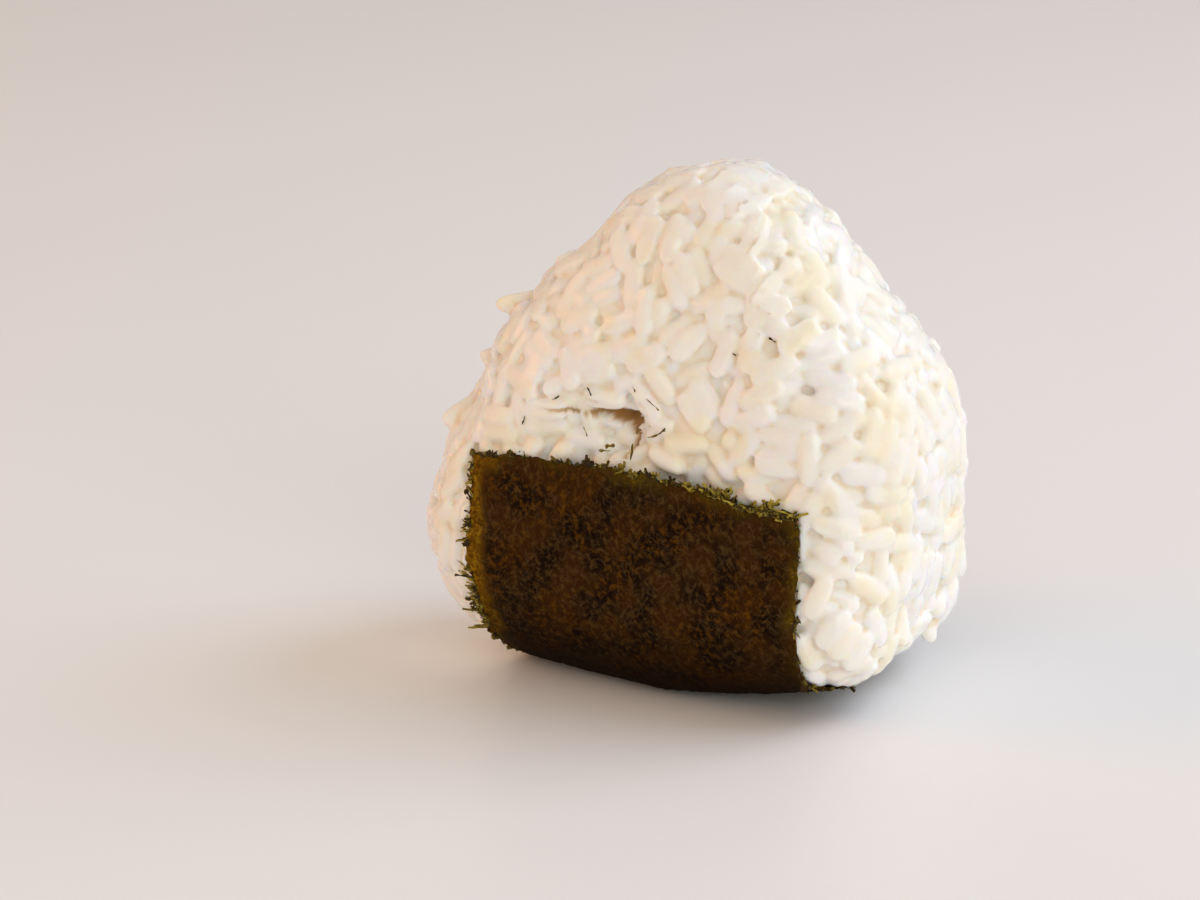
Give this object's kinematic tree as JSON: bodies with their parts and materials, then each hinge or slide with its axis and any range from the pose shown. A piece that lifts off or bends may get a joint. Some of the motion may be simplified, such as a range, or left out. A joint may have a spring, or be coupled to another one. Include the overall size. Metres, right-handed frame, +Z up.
{
  "type": "onigiri rice ball",
  "caption": "Hand-pressed rounded triangle of cooked rice standing on a strip of dried seaweed that wraps its front, underside and back.",
  "frame": {"origin": "on the surface that the rice ball stands on, below the middle of its box", "axes": "+X across the front face to its right, +Y from the front face to the back face, +Z up to the apex"},
  "size_m": [0.0796, 0.0442, 0.0744],
  "materials": {
    "cooked_rice": "moist translucent rice grains with small wet highlights",
    "dried_seaweed": "matte felted fibres, green-gold and see-through at the torn edges"
  },
  "bodies": {
    "root": {"rice_ball": "cooked_rice", "nori_strip": "dried_seaweed"}
  },
  "joints": []
}
